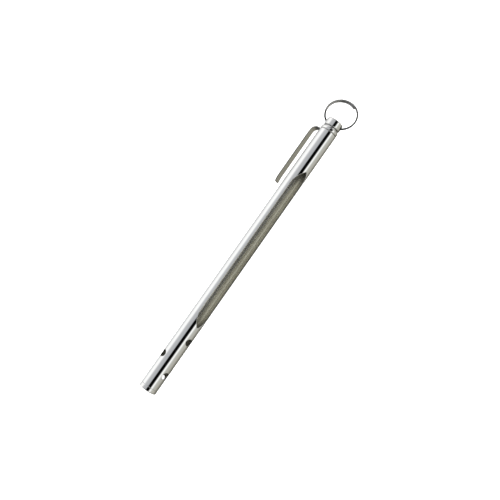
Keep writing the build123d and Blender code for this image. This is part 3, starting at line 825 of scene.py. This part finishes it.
# ---------------------------------------------------------------------------
# knob, cross-drilled
# ---------------------------------------------------------------------------
def make_knob():
    side, rnd, top, R = 171.25, 0.90, 172.70, 4.60
    groove_hi, groove_lo = 163.52, 163.11
    rim_x, rim_r = side + rnd, R - rnd
    rise = top - rim_x
    ballr = (rim_r**2 + rise**2) / (2 * rise)
    dome = []
    for k in range(1, 10):
        r = rim_r * k / 9
        dome.append((top - (ballr - math.sqrt(ballr**2 - r * r)), r))
    prof, nor = [(top, 0.0)], [(1.0, 0.0)]
    for x, r in dome:
        prof.append((x, r))
        nor.append(((math.sqrt(ballr**2 - r * r)) / ballr, r / ballr))
    for k in range(1, 11):
        w = math.radians(90 * k / 10)
        prof.append((side + rnd * math.cos(w), R - rnd + rnd * math.sin(w)))
        nor.append((math.cos(w), math.sin(w)))
    lower, lown = rounded(
        [(side, R), (X_KNOB_LOW, R), (X_KNOB_LOW, 1.3), (groove_hi, 1.3), (groove_hi, 0.95), (groove_lo, 0.95), (groove_lo, 1.3), (162.1, 1.3), (162.1, 0)],
        [0, 0.45, 0.08, 0.03, 0.03, 0.03, 0.03, 0.2, 0],
        False,
    )
    # this outline runs the other way round from rounded()'s left side
    prof = np.concatenate([np.array(prof), lower[1:]])
    nor = np.concatenate([np.array(nor), -lown[1:]])
    # one row of extra points on the side, so that the cut meets small faces
    b = Builder()
    P, N = [], []
    for i in range(len(prof) - 1):
        P.append(prof[i])
        N.append(nor[i])
        gap = np.linalg.norm(prof[i + 1] - prof[i])
        if gap > 0.35 and prof[i][1] > 2.0 and prof[i + 1][1] > 0.9:
            k = int(gap / 0.3)
            for j in range(1, k + 1):
                t = j / (k + 1)
                P.append(prof[i] * (1 - t) + prof[i + 1] * t)
                N.append(nor[i] * (1 - t) + nor[i + 1] * t)
    P.append(prof[-1])
    N.append(nor[-1])
    P, N = np.array(P), np.array(N)
    spun(b, P, N, 192, 0, False)
    ob = b.obj("knob_solid", [M_CAP])
    # the drill: a bar along Y whose ends flare a little
    c = Builder()
    hx, hr = 169.60, 1.4
    ys = [-5.4, -4.75, -4.5, -4.3, -4.1, -3.9, -3.7, -3.5, -3.0, -1.5, 0, 1.5, 3.0, 3.5, 3.7, 3.9, 4.1, 4.3, 4.5, 4.75, 5.4]
    seg = 96
    a = np.linspace(0, 2 * math.pi, seg, endpoint=False)
    rows, nn = [], []
    for y in ys:
        over = max(0.0, abs(y) - 4.10)
        r = hr + 0.18 * min(over, 1.0) ** 2
        rows.append(np.stack([hx + r * np.cos(a), np.full(seg, y), r * np.sin(a)], -1))
        nn.append(np.stack([np.cos(a), 0 * a, np.sin(a)], -1))
    rows = [np.repeat([[hx, ys[0], 0.0]], seg, 0)] + rows + [np.repeat([[hx, ys[-1], 0.0]], seg, 0)]
    nn = [np.repeat([[0, -1.0, 0]], seg, 0)] + nn + [np.repeat([[0, 1.0, 0]], seg, 0)]
    c.grid(np.array(rows), np.array(nn), 0, wrap_v=True)
    drill = c.obj("knob_drill", [M_CAP])
    md = ob.modifiers.new("hole", "BOOLEAN")
    md.operation, md.object, md.solver = "DIFFERENCE", drill, "EXACT"
    bpy.context.view_layer.update()
    dg = bpy.context.evaluated_depsgraph_get()
    me = bpy.data.meshes.new_from_object(ob.evaluated_get(dg))
    ob.modifiers.clear()
    old = ob.data
    ob.data = me
    bpy.data.meshes.remove(old)
    bpy.data.objects.remove(drill)
    me.name = "knob_turned"
    ob.name = "knob_turned"
    # exact normals again: the turned surface's or the hole's, whichever the face lies on
    nv = len(me.vertices)
    co = np.zeros(nv * 3)
    me.vertices.foreach_get("co", co)
    co = co.reshape(-1, 3) * 1000 - np.array([TIP, 0, AXIS_H])
    rad = np.hypot(co[:, 1], co[:, 2])
    out = []
    seg_a, seg_b = P[:-1], P[1:]
    na, nb = N[:-1], N[1:]
    q = np.stack([co[:, 0], rad], -1)
    best = np.full(nv, 1e9)
    prof_n = np.zeros((nv, 2))
    for A, B, n1, n2 in zip(seg_a, seg_b, na, nb):
        d = B - A
        L2 = float((d * d).sum())
        if L2 < 1e-12:
            continue
        t = np.clip(((q - A) @ d) / L2, 0, 1)
        e = ((A + t[:, None] * d - q) ** 2).sum(1)
        m = e < best
        best[m] = e[m]
        prof_n[m] = (n1 * (1 - t[m, None]) + n2 * t[m, None])
    radial = np.stack([np.zeros(nv), co[:, 1], co[:, 2]], -1) / np.maximum(rad, 1e-9)[:, None]
    Nv = radial * prof_n[:, 1:2]
    Nv[:, 0] = prof_n[:, 0]
    Hv = np.stack([hx - co[:, 0], np.zeros(nv), -co[:, 2]], -1)
    Hv /= np.maximum(np.linalg.norm(Hv, axis=1, keepdims=True), 1e-9)
    for p in me.polygons:
        g = np.array(p.normal)
        hole = np.hypot(co[list(p.vertices), 0] - hx, co[list(p.vertices), 2]).max() < hr + 0.09 and abs(g[1]) < 0.75 and p.center.x * 1000 - TIP > X_KNOB_LOW + 0.02
        for v in p.vertices:
            n1 = Nv[v] / max(np.linalg.norm(Nv[v]), 1e-9)
            n2 = Hv[v]
            use = n2 if (hole and np.dot(n2, g) > np.dot(n1, g)) else n1
            if np.dot(use, g) < 0.4:
                use = g
            out.append(tuple(use))
    for p in me.polygons:
        p.use_smooth = True
    me.normals_split_custom_set(out)
    return ob


knob = make_knob()
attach(knob, "knob")
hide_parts("swivel_knob")

# ---------------------------------------------------------------------------
# pocket clip: a flat blank with a washer ring, bent over into a tongue
# ---------------------------------------------------------------------------
CLIP_T, CLIP_W, CLIP_ANGLE = 0.50, 4.0, -107.5


def clip_midline():
    """The sheet's middle surface from the tube's axis outwards: (length, x, r, nx, nr)."""
    out_top, out_low, bend, x_low, toe = 9.40, 9.25, 3.5, 127.7, 0.42
    xs = X_SHOULDER - CLIP_T / 2
    r_b = out_top - bend
    rm = bend - CLIP_T / 2
    pts = [(-6.0, xs, -6.0)]
    l = 0.0
    pts.append((r_b, xs, r_b))
    l = r_b
    n = 24
    for k in range(1, n + 1):
        w = math.pi / 2 * k / n
        pts.append((l + rm * w, xs - rm * (1 - math.cos(w)), r_b + rm * math.sin(w)))
    l += rm * math.pi / 2
    q3 = np.array([xs - rm, out_top - CLIP_T / 2])
    q4 = np.array([x_low + 5.2, out_low + 0.05 - CLIP_T / 2])
    q5 = np.array([x_low + 0.25, out_low - toe - CLIP_T / 2])
    n = 30
    for k in range(1, n + 1):
        p = q3 + (q4 - q3) * k / n
        pts.append((l + np.linalg.norm(q4 - q3) * k / n, p[0], p[1]))
    l += np.linalg.norm(q4 - q3)
    # arc tangent to the straight run
    t = (q4 - q3) / np.linalg.norm(q4 - q3)
    nrm = np.array([t[1], -t[0]])
    if np.dot(nrm, q5 - q4) < 0:
        nrm = -nrm
    c = q5 - q4
    R = np.dot(c, c) / (2 * np.dot(c, nrm))
    total = 2 * math.asin(np.linalg.norm(c) / (2 * R))
    n = 16
    for k in range(1, n + 1):
        w = total * k / n
        p = q4 + t * R * math.sin(w) + nrm * R * (1 - math.cos(w))
        pts.append((l + R * w, p[0], p[1]))
    return np.array(pts, float)


MID = clip_midline()


def bent(lw, h):
    """Blank coordinates (length outwards, across) to space, at height h off the middle."""
    l = lw[:, 0]
    x = np.interp(l, MID[:, 0], MID[:, 1])
    r = np.interp(l, MID[:, 0], MID[:, 2])
    e = 0.02
    dx = np.interp(l + e, MID[:, 0], MID[:, 1]) - np.interp(l - e, MID[:, 0], MID[:, 1])
    dr = np.interp(l + e, MID[:, 0], MID[:, 2]) - np.interp(l - e, MID[:, 0], MID[:, 2])
    s = np.hypot(dx, dr)
    s[s < 1e-9] = 1
    dx, dr = dx / s, dr / s
    nx, nr = dr, -dx                   # outward: +x on the washer, outwards on the tongue
    a = math.radians(CLIP_ANGLE)
    er = np.array([0, -math.sin(a), math.cos(a)])
    et = np.array([0, math.cos(a), math.sin(a)])
    P = (r + h * nr)[:, None] * er + lw[:, 1:2] * et
    P[:, 0] = x + h * nx
    N = nr[:, None] * er
    N[:, 0] = nx
    D = dr[:, None] * er
    D[:, 0] = dx
    return P, N, D, np.repeat(et[None], len(lw), 0)


def make_clip():
    L = MID[-1, 0]
    R, r_in, W, C = 4.45, 3.58, CLIP_W / 2, 0.55
    rn = 0.11
    # outline of the blank: ring, neck fillets, tongue with rounded corners
    cx = math.sqrt(R * R - W * W)
    start = math.atan2(W, cx)
    ring = [(R * math.cos(a), R * math.sin(a)) for a in np.linspace(start + 0.14, 2 * math.pi - start - 0.14, 150)]
    steps = int((L - 5.2) / 0.45)
    low = [(5.2 + (L - C - 5.2) * k / steps, -W) for k in range(steps + 1)]
    tip = [(L - C + C * math.sin(a), -W + C - C * math.cos(a)) for a in np.linspace(0, math.pi / 2, 12)[1:]]
    tip += [(L, w) for w in np.linspace(-W + C, W - C, 7)[1:-1]]
    tip += [(L - C + C * math.cos(a), W - C + C * math.sin(a)) for a in np.linspace(0, math.pi / 2, 12)]
    high = [(p[0], W) for p in low[::-1][1:]]
    a0 = ring[-1]
    neck_a = []
    for k in range(1, 6):
        t = k / 6
        neck_a.append(tuple((1 - t) ** 2 * np.array(a0) + 2 * t * (1 - t) * np.array([cx + 0.12, -W]) + t * t * np.array([4.95, -W])))
    neck_b = [(p[0], -p[1]) for p in neck_a[::-1]]
    outer = np.array(ring + neck_a + low + tip + high + neck_b)
    hole = np.array([(r_in * math.cos(a), r_in * math.sin(a)) for a in np.linspace(0, 2 * math.pi, 120, endpoint=False)])

    def normals(lp, outward):
        t = np.roll(lp, -1, 0) - np.roll(lp, 1, 0)
        t /= np.linalg.norm(t, axis=1, keepdims=True)
        n = np.stack([t[:, 1], -t[:, 0]], -1)
        ins = inside(lp, lp + n * 0.02)
        n[ins] *= -1
        return n if outward else -n

    n_out, n_hole = normals(outer, True), normals(hole, False)
    flat_out, flat_hole = outer - n_out * rn, hole - n_hole * rn
    gl = np.concatenate([np.arange(-4.4, 5.4, 0.4), np.arange(5.5, 11.4, 0.18), np.arange(11.7, L - 6, 0.8), np.arange(L - 6, L, 0.35)])
    gw = np.arange(-4.4, 4.41, 0.4)
    G = np.stack(np.meshgrid(gl, gw, indexing="ij"), -1).reshape(-1, 2)
    V, T = fill([flat_out, flat_hole], G)
    b = Builder()
    for h, s in ((CLIP_T / 2, 1.0), (-CLIP_T / 2, -1.0)):
        P, N, _, _ = bent(V, h)
        b.tris(P, N * s, T, 0)
    for lp, n in ((outer, n_out), (hole, n_hole)):
        rows, nors = [], []
        for s in (1, -1):
            ks = range(0, 5) if s == 1 else range(4, -1, -1)
            for k in ks:
                w = math.radians(90 * k / 4)
                q = lp - n * rn + n * rn * math.sin(w)
                h = s * (CLIP_T / 2 - rn + rn * math.cos(w))
                P, N, D, E = bent(q, h)
                rows.append(P)
                nors.append(N * s * math.cos(w) + (D * n[:, 0:1] + E * n[:, 1:2]) * math.sin(w))
        b.grid(np.array(rows), np.array(nors), 1, wrap_v=True)
    return b.obj("clip_sprung", [M_CLIP, M_CLIP_EDGE])


clip = make_clip()
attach(clip, "clip")
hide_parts("pocket_clip")

# ---------------------------------------------------------------------------
# split ring
# ---------------------------------------------------------------------------
RING_R, WIRE_R, DROOP, REACH = 8.60, 0.498, math.radians(10.2), 7.755
LAP_FROM, LAP_TO, LAP_INSET = -27.0, 112.0, 0.42


def smooth(t):
    t = np.clip(t, 0, 1)
    return t * t * (3 - 2 * t)


def wire_points(n=420):
    ang = np.linspace(LAP_FROM, 360 + LAP_TO, n)
    a = np.radians(ang)
    h = 0.525 * (2 * smooth((ang - LAP_TO) / (360 + LAP_FROM - LAP_TO)) - 1)
    r = RING_R - LAP_INSET * (1 - smooth((ang - LAP_FROM) / (LAP_TO - LAP_FROM)))
    out = np.array([math.cos(DROOP), 0, -math.sin(DROOP)])
    up = np.array([math.sin(DROOP), 0, math.cos(DROOP)])
    side = np.array([0, 1.0, 0])
    c = np.array([169.60, 0, 0]) + REACH * out
    return c + (r * np.cos(a))[:, None] * out + (r * np.sin(a))[:, None] * side + h[:, None] * up


b = Builder()
sweep_tube(b, wire_points(), WIRE_R, 32, cap=0.16)
ring = b.obj("ring_lapped", [M_RING])
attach(ring, "ring")
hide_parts("split_ring")

# ---------------------------------------------------------------------------
# spring, plunger and pads inside the cap
# ---------------------------------------------------------------------------
sp_lo, sp_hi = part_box("pressure_spring")
x0 = sp_lo.x * 1000 - TIP + 0.175
x1 = sp_hi.x * 1000 - TIP - 0.175
t = np.linspace(0, 1, 520)
turns = 5.0
dead = 0.12
tt = np.clip((t - dead) / (1 - 2 * dead), 0, 1)
tt = 0.10 * t + 0.90 * smooth(tt) * 0.35 + 0.90 * 0.65 * tt
a = 2 * math.pi * turns * t
C = np.stack([x0 + (x1 - x0) * tt, 2.2 * np.cos(a), 2.2 * np.sin(a)], -1)
b = Builder()
sweep_tube(b, C, 0.175, 16, cap=0.05)
spring = b.obj("spring_coil", [M_WIRE])
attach(spring, "spring")
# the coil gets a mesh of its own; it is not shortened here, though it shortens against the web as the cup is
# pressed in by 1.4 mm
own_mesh(spring)
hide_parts("pressure_spring")

cup = lathe(
    "plunger_cup",
    [(156.1, 0), (156.1, 1.9), (159.11, 1.9), (159.11, 2.4), (159.8, 2.4), (159.8, 1.5), (157.3, 1.5), (157.0, 0)],
    [0, 0.2, 0.05, 0.1, 0.1, 0.08, 0.2, 0],
    [M_CUP],
    96,
    closed=False,
)
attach(cup, "plunger")
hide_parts("spring_cup")

pts = [(156.1, 0), (156.1, 1.9), (157.1, 1.9), (157.1, 2.8), (155.0, 2.8), (155.0, 2.0)]
ball = (2.0**2 + 0.45**2) / (2 * 0.45)
for k in range(1, 9):
    r = 2.0 * (1 - k / 8)
    pts.append((155.45 - (ball - math.sqrt(ball * ball - r * r)), r))
pts = pts[::-1]
top_pad = lathe("plunger_pad", pts, [0] * 8 + [0.12, 0.3, 0.2, 0.08, 0.15, 0], [M_RUBBER], 96, closed=False)
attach(top_pad, "plunger")
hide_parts("top_cushion")

for node, mat in (("stem_washer", M_CUP), ("stem_circlip", M_WIRE)):
    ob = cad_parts[node]
    ob.data.materials.clear()
    ob.data.materials.append(mat)

# ---------------------------------------------------------------------------
# floor, light and camera
# ---------------------------------------------------------------------------
fm = Nodes("floor_paper")
fm.set(Roughness=0.9)
speck = fm.noise(260, (1, 1, 1), 4.0, 0.6)
fm.link(fm.ramp(speck, [(0.3, (0.90, 0.90, 0.895)), (0.7, (0.915, 0.915, 0.91))]), fm.bsdf.inputs["Base Color"])
fm.link(fm.bump(speck, 0.03, 0.0001), fm.bsdf.inputs["Normal"])
fm.bsdf.inputs["Specular IOR Level"].default_value = 0.1
fm.bsdf.inputs["Emission Color"].default_value = (1.0, 1.0, 0.995, 1)
fm.bsdf.inputs["Emission Strength"].default_value = 0.80
me = bpy.data.meshes.new("floor")
S, n = 2.5, 12
vs = [(-S + 2 * S * i / n, -S + 2 * S * j / n, -0.00002) for i in range(n + 1) for j in range(n + 1)]
me.from_pydata(vs, [], [(i * (n + 1) + j, (i + 1) * (n + 1) + j, (i + 1) * (n + 1) + j + 1, i * (n + 1) + j + 1) for i in range(n) for j in range(n)])
me.materials.append(fm.mat)
floor = bpy.data.objects.new("floor", me)
bpy.context.scene.collection.objects.link(floor)
floor.visible_glossy = False

# studio surround: brightness by direction round the tube's length, as from long soft
# boxes at both sides with the gap between them overhead, and paler cards at both ends
LEAN = 12.5
SKY = [
    (-180, 60, 60, 60), (-163, 140, 140, 140), (-148, 190, 190, 190), (-117, 232, 232, 232),
    (-100, 255, 255, 255), (-79, 255, 255, 255), (-71, 239, 239, 240), (-64, 215, 215, 217), (-56, 192, 192, 195),
    (-49, 182, 183, 186), (-29, 179, 181, 184), (-22, 176, 178, 181), (-16, 166, 168, 170), (-13, 120, 121, 123), (-10, 36, 37, 38),
    (-7, 0, 0, 0), (16.5, 0, 0, 0), (19.5, 30, 30, 30), (23.5, 120, 120, 119), (27.5, 200, 200, 198), (32, 246, 246, 244), (40, 250, 250, 248),
    (47, 226, 226, 223), (55, 200, 200, 195), (63, 182, 181, 174), (78, 178, 177, 168), (95, 174, 172, 163), (105, 153, 151, 142),
    (116, 126, 124, 114), (136, 122, 120, 111), (158, 90, 89, 84), (180, 60, 60, 60),
]
FAR_END = [
    (-180, 30, 30, 30), (-140, 45, 45, 45), (-124, 130, 130, 130), (-108, 235, 235, 235), (-92, 245, 245, 245),
    (-78, 195, 195, 196), (-46, 143, 143, 144), (-28, 85, 85, 85), (-11, 95, 95, 95), (5, 130, 130, 130), (30, 190, 190, 187),
    (60, 180, 180, 176), (85, 150, 149, 144), (134, 115, 115, 111), (156, 60, 60, 58), (180, 35, 35, 35),
]
NEAR_END = [
    (-180, 30, 30, 30), (-105, 45, 45, 45), (-75, 150, 150, 150), (-60, 160, 160, 160), (-25, 150, 151, 153), (-8, 190, 190, 190),
    (10, 198, 198, 198), (35, 160, 160, 158), (75, 135, 134, 129), (100, 45, 45, 43), (180, 30, 30, 30),
]
GAIN = 1.06


def lin(c):
    c = c / 255.0
    return c / 12.92 if c <= 0.04045 else ((c + 0.055) / 1.055) ** 2.4


world = bpy.data.worlds.new("studio")
bpy.context.scene.world = world
world.use_nodes = True
wt = world.node_tree
wt.nodes.clear()


def wnode(kind, inputs=(), **kw):
    n = wt.nodes.new(kind)
    for k, v in kw.items():
        setattr(n, k, v)
    for i, v in enumerate(inputs):
        if v is None:
            continue
        if isinstance(v, (int, float, tuple)):
            n.inputs[i].default_value = v
        else:
            wt.links.new(v, n.inputs[i])
    return n


def wmath(op, *inputs):
    return wnode("ShaderNodeMath", inputs, operation=op).outputs[0]


def wramp(fac, stops):
    r = wnode("ShaderNodeValToRGB", (fac,))
    while len(r.color_ramp.elements) < len(stops):
        r.color_ramp.elements.new(0.5)
    for e, (ang, cr, cg, cb) in zip(r.color_ramp.elements, stops):
        e.position = (ang + 180) / 360
        e.color = (lin(cr) * GAIN, lin(cg) * GAIN, lin(cb) * GAIN, 1)
    return r.outputs["Color"]


w_out = wnode("ShaderNodeOutputWorld")
tc = wnode("ShaderNodeTexCoord")
sep = wnode("ShaderNodeSeparateXYZ", (tc.outputs["Generated"],))
dx, dy, dz = sep.outputs
turn = wmath("ARCTAN2", wmath("MULTIPLY", dy, -1.0), dz)
# the boxes stand a little askew to the tube
turn = wmath("SUBTRACT", turn, wmath("MULTIPLY_ADD", dx, 0.35, math.radians(LEAN) + 0.038))
turn = wmath("WRAP", turn, math.pi, -math.pi)
fac = wmath("MULTIPLY_ADD", turn, 0.5 / math.pi, 0.5)
side = wramp(fac, SKY)
ends = wnode("ShaderNodeMix", data_type="RGBA")
wt.links.new(wmath("GREATER_THAN", dx, 0.0), ends.inputs[0])
wt.links.new(wramp(fac, NEAR_END), ends.inputs[6])
wt.links.new(wramp(fac, FAR_END), ends.inputs[7])
edge = wnode("ShaderNodeMapRange", (wmath("ABSOLUTE", dx), 0.46, 0.80), interpolation_type="SMOOTHSTEP")
whole = wnode("ShaderNodeMix", data_type="RGBA")
wt.links.new(edge.outputs[0], whole.inputs[0])
wt.links.new(side, whole.inputs[6])
wt.links.new(ends.outputs[2], whole.inputs[7])
bg = wnode("ShaderNodeBackground", (whole.outputs[2], 1.0))
bg_cam = wnode("ShaderNodeBackground", ((1.0, 1.0, 1.0, 1.0), 1.0))
lp = wnode("ShaderNodeLightPath")
mix = wnode("ShaderNodeMixShader", (lp.outputs["Is Camera Ray"], bg.outputs[0], bg_cam.outputs[0]))
wt.links.new(mix.outputs[0], w_out.inputs[0])


def area(name, loc, target, size, power, glossy=False):
    ld = bpy.data.lights.new(name, "AREA")
    ld.shape = "DISK"
    ld.size = size
    ld.energy = power
    lo = bpy.data.objects.new(name, ld)
    lo.location = loc
    lo.rotation_euler = (Vector(target) - Vector(loc)).to_track_quat("-Z", "Y").to_euler()
    lo.visible_glossy = glossy
    bpy.context.scene.collection.objects.link(lo)
    return lo


area("soft_left", (-0.25, 0.9, 1.1), (0, 0, 0), 1.4, 14.0)
area("soft_right", (0.3, -0.9, 1.2), (0, 0, 0), 1.4, 14.0)
area("soft_top", (0.0, 0.0, 1.6), (0, 0, 0), 1.8, 10.0)

# camera: high above the case and a little to its right, the tube running up to the right
tau, lean = math.radians(3.5), math.radians(LEAN)
above = Vector((0, -math.sin(lean), math.cos(lean)))
across = Vector((0, math.cos(lean), math.sin(lean)))
ex = math.cos(tau) * Vector((1, 0, 0)) + math.sin(tau) * above
look = math.sin(tau) * Vector((1, 0, 0)) - math.cos(tau) * above
right = (0.575 * ex - 0.818 * across).normalized()
up = (0.818 * ex + 0.575 * across).normalized()
target = Vector(((TIP + 89.86) / 1000, 0, AXIS_H / 1000)) - 0.00197 * across
dist = 0.374
cam_data = bpy.data.cameras.new("camera")
cam = bpy.data.objects.new("camera", cam_data)
bpy.context.scene.collection.objects.link(cam)
cam_data.sensor_width = 36.0
cam_data.lens = 712.0 / 500.0 * 36.0
cam_data.clip_start, cam_data.clip_end = 0.01, 20.0
loc = target - look * dist
back = -look
cam.matrix_world = Matrix(
    (
        (right.x, up.x, back.x, loc.x),
        (right.y, up.y, back.y, loc.y),
        (right.z, up.z, back.z, loc.z),
        (0, 0, 0, 1),
    )
)
bpy.context.scene.camera = cam
bpy.context.scene.view_settings.view_transform = "Standard"
bpy.context.scene.view_settings.look = "None"
